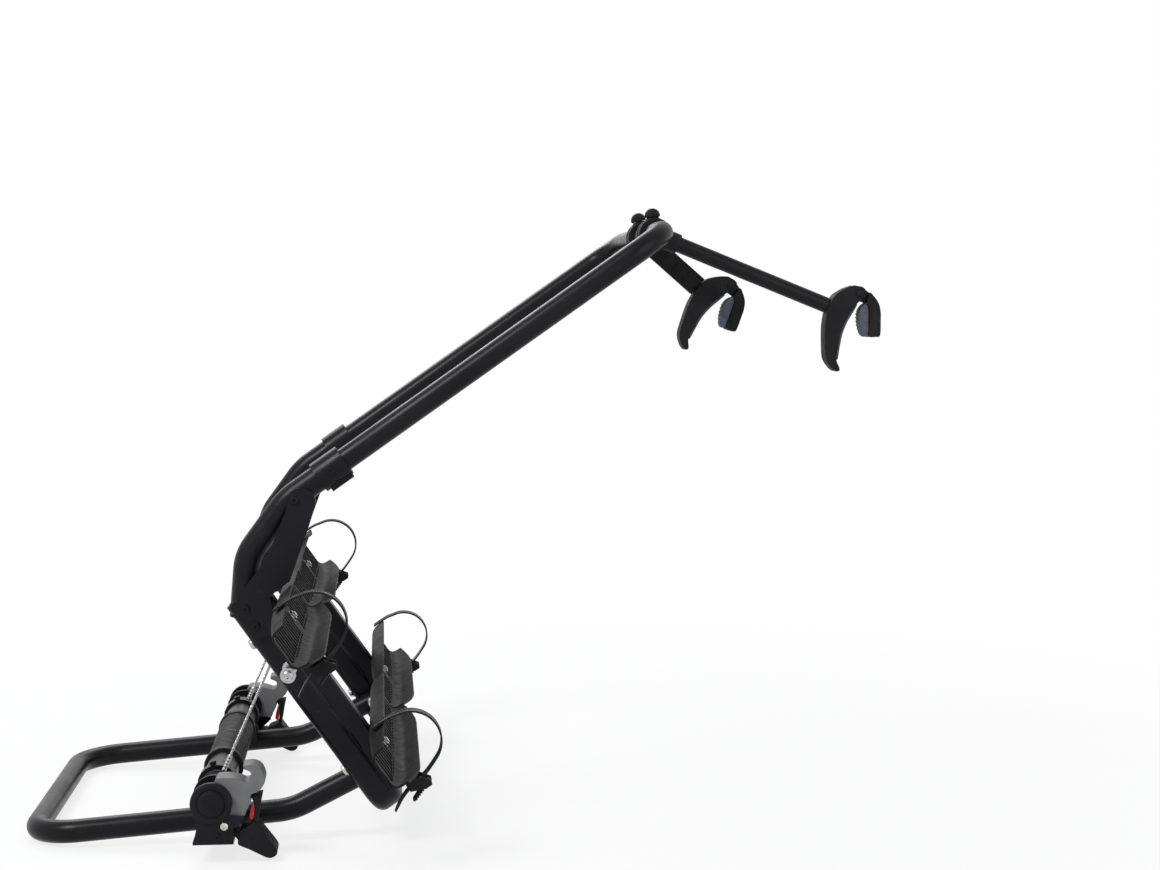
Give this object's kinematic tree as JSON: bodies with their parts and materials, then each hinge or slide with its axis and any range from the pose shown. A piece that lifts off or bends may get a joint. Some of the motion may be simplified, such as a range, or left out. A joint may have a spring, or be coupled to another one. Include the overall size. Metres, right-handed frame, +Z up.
{
  "type": "caravan bike carrier",
  "caption": "Tilting bicycle carrier for a caravan drawbar: bent tube base with catch hooks and foot pedals, folding wheel-tray platform, upright hoop and clamp arms.",
  "frame": {"origin": "on the drawbar's seat plane, midway between the two lock brackets", "axes": "+X towards the towing vehicle, +Y across the drawbar, +Z up"},
  "size_m": [1.146, 1.0808, 0.8292],
  "materials": {
    "black_coat": "satin black powder coat",
    "black_plastic": "moulded black plastic",
    "zinc": "zinc plated",
    "stainless": "stainless",
    "grey_hook": "grey, satin",
    "red_plastic": "red plastic",
    "grey_rubber": "soft rubber"
  },
  "bodies": {
    "base": {"base_frame": "black_coat", "cross_tube": "black_coat", "near_cross_clamp": "black_coat", "near_lock_bracket": "black_coat", "near_lock_cover": "black_plastic", "near_hook_bolt": "zinc", "near_check_cable": "stainless", "far_cross_clamp": "black_coat", "far_lock_bracket": "black_coat", "far_lock_cover": "black_plastic", "far_hook_bolt": "zinc", "far_check_cable": "stainless"},
    "near_catch": {"near_hook": "grey_hook"},
    "far_catch": {"far_hook": "grey_hook"},
    "near_release": {"near_pedal": "black_plastic", "near_marker": "red_plastic"},
    "far_release": {"far_pedal": "black_plastic", "far_marker": "red_plastic"},
    "platform": {"platform_frame": "black_coat", "platform_stay": "black_coat", "near_stub_collar": "black_coat", "near_gusset": "black_coat", "near_hinge_bolt": "zinc", "near_lock_stud": "stainless", "far_stub_collar": "black_coat", "far_gusset": "black_coat", "far_hinge_bolt": "zinc", "far_lock_stud": "stainless", "wheel_tray_1_near": "black_plastic", "wheel_tray_1_far": "black_plastic", "wheel_tray_2_near": "black_plastic", "wheel_tray_2_far": "black_plastic", "tray_bolt_1_near": "zinc", "tray_bolt_1_far": "zinc", "tray_bolt_2_near": "zinc", "tray_bolt_2_far": "zinc", "strap_1_near": "black_plastic", "strap_1_far": "black_plastic", "strap_2_near": "black_plastic", "strap_2_far": "black_plastic", "buckle_1_near": "black_plastic", "buckle_1_far": "black_plastic", "buckle_2_near": "black_plastic", "buckle_2_far": "black_plastic"},
    "hoop": {"hoop": "black_coat"},
    "long_arm": {"long_arm_clamp": "black_plastic", "long_arm_tube": "black_coat", "long_claw": "black_plastic"},
    "long_arm_screw": {"long_arm_knob": "black_plastic"},
    "long_claw_jaw": {"long_jaw": "black_plastic", "long_jaw_pad": "grey_rubber"},
    "short_arm": {"short_arm": "black_plastic", "short_claw": "black_plastic"},
    "short_arm_screw": {"short_arm_knob": "black_plastic"},
    "short_claw_jaw": {"short_jaw": "black_plastic", "short_jaw_pad": "grey_rubber"},
    "lever_1_near": {"buckle_lever_1_near": "black_plastic"},
    "lever_1_far": {"buckle_lever_1_far": "black_plastic"},
    "lever_2_near": {"buckle_lever_2_near": "black_plastic"},
    "lever_2_far": {"buckle_lever_2_far": "black_plastic"}
  },
  "joints": [
    {"name": "platform_tilt", "type": "hinge", "parent": "base", "child": "platform", "pos_m": [0.19, 0, 0.079], "axis": [0, -1, 0], "range_deg": [0, 47.3], "deforming": ["near_check_cable", "far_check_cable"]},
    {"name": "near_hook_turn", "type": "hinge", "parent": "base", "child": "near_catch", "pos_m": [0.0055, -0.3165, 0.032], "axis": [0, -1, 0], "range_deg": [0, 14.5], "stiffness_Nm_per_rad": 0.3, "springref_deg": -17.19},
    {"name": "near_pedal_press", "type": "hinge", "parent": "base", "child": "near_release", "pos_m": [-0.0031, -0.3165, 0.0183], "axis": [0, 1, 0], "range_deg": [0, 9], "stiffness_Nm_per_rad": 0.5, "springref_deg": -17.19},
    {"name": "far_hook_turn", "type": "hinge", "parent": "base", "child": "far_catch", "pos_m": [0.0055, 0.3165, 0.032], "axis": [0, -1, 0], "range_deg": [0, 14.5], "stiffness_Nm_per_rad": 0.3, "springref_deg": -17.19},
    {"name": "far_pedal_press", "type": "hinge", "parent": "base", "child": "far_release", "pos_m": [-0.0031, 0.3165, 0.0183], "axis": [0, 1, 0], "range_deg": [0, 9], "stiffness_Nm_per_rad": 0.5, "springref_deg": -17.19},
    {"name": "hoop_slide", "type": "slide", "parent": "platform", "child": "hoop", "axis": [0.8171, 0, 0.5764], "range_m": [0, 0.035]},
    {"name": "long_arm_swing", "type": "hinge", "parent": "hoop", "child": "long_arm", "pos_m": [0.57193, -0.14, 0.77797], "axis": [0, -1, 0], "range_deg": [-60, 80]},
    {"name": "long_knob_turn", "type": "hinge", "parent": "long_arm", "child": "long_arm_screw", "pos_m": [0.57193, -0.14, 0.77797], "axis": [-0.0906, 0, 0.9959], "continuous": true},
    {"name": "long_jaw_open", "type": "hinge", "parent": "long_arm", "child": "long_claw_jaw", "pos_m": [0.85264, -0.14, 0.69881], "axis": [0, -1, 0], "range_deg": [0, 60]},
    {"name": "short_arm_swing", "type": "hinge", "parent": "hoop", "child": "short_arm", "pos_m": [0.57193, -0.02, 0.77797], "axis": [0, -1, 0], "range_deg": [-60, 80]},
    {"name": "short_knob_turn", "type": "hinge", "parent": "short_arm", "child": "short_arm_screw", "pos_m": [0.57193, -0.02, 0.77797], "axis": [-0.2453, 0, 0.9694], "continuous": true},
    {"name": "short_jaw_open", "type": "hinge", "parent": "short_arm", "child": "short_claw_jaw", "pos_m": [0.69539, -0.02, 0.71077], "axis": [0, -1, 0], "range_deg": [0, 60]},
    {"name": "lever_1_near_open", "type": "hinge", "parent": "platform", "child": "lever_1_near", "pos_m": [0.1445, -0.465, 0.25246], "axis": [0, -1, 0], "range_deg": [0, 50]},
    {"name": "lever_1_far_open", "type": "hinge", "parent": "platform", "child": "lever_1_far", "pos_m": [0.1445, 0.375, 0.25246], "axis": [0, -1, 0], "range_deg": [0, 50]},
    {"name": "lever_2_near_open", "type": "hinge", "parent": "platform", "child": "lever_2_near", "pos_m": [0.25864, -0.375, 0.09066], "axis": [0, -1, 0], "range_deg": [0, 50]},
    {"name": "lever_2_far_open", "type": "hinge", "parent": "platform", "child": "lever_2_far", "pos_m": [0.25864, 0.465, 0.09066], "axis": [0, -1, 0], "range_deg": [0, 50]}
  ]
}
